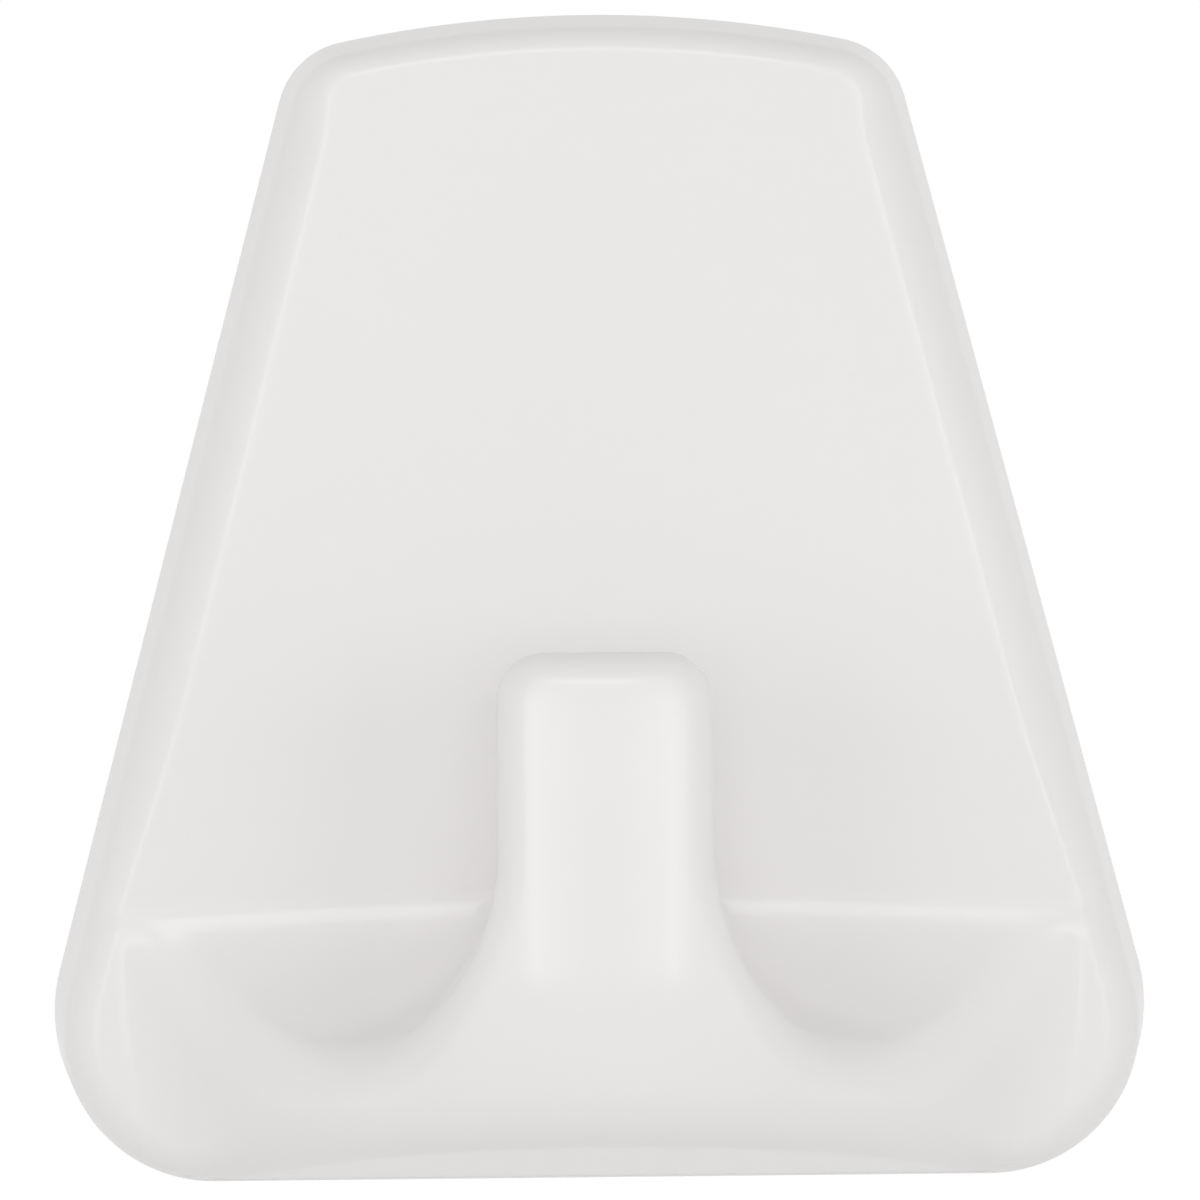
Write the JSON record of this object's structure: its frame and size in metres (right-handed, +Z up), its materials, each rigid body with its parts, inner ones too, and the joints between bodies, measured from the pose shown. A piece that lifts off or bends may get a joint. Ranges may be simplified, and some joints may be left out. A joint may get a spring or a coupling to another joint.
{
  "type": "adhesive wall hook",
  "caption": "White moulded wall hook with a bell-shaped tongue that slides onto a wall plate held by a stretch-release adhesive strip.",
  "frame": {"origin": "middle of the adhesive strip's back face, on the wall", "axes": "+Y points into the wall, -Y out to the front of the hook, +Z up along the wall, +X to the right seen from the front"},
  "size_m": [0.06, 0.021, 0.0636],
  "materials": {
    "white_gloss": "satin gloss moulded",
    "white_matte": "fine matte moulded",
    "adhesive": "tacky satin",
    "foam": "matte closed-cell foam",
    "tab_film": "matte film"
  },
  "bodies": {
    "wall_mount": {"wall_plate": "white_matte", "plate_adhesive": "adhesive", "strip_core": "foam", "wall_adhesive": "adhesive", "pull_tab": "tab_film"},
    "hook": {"hook_shell": "white_gloss"}
  },
  "joints": [
    {"name": "hook_slide", "type": "slide", "parent": "wall_mount", "child": "hook", "axis": [0, 0, 1], "range_m": [0, 0.044]}
  ]
}
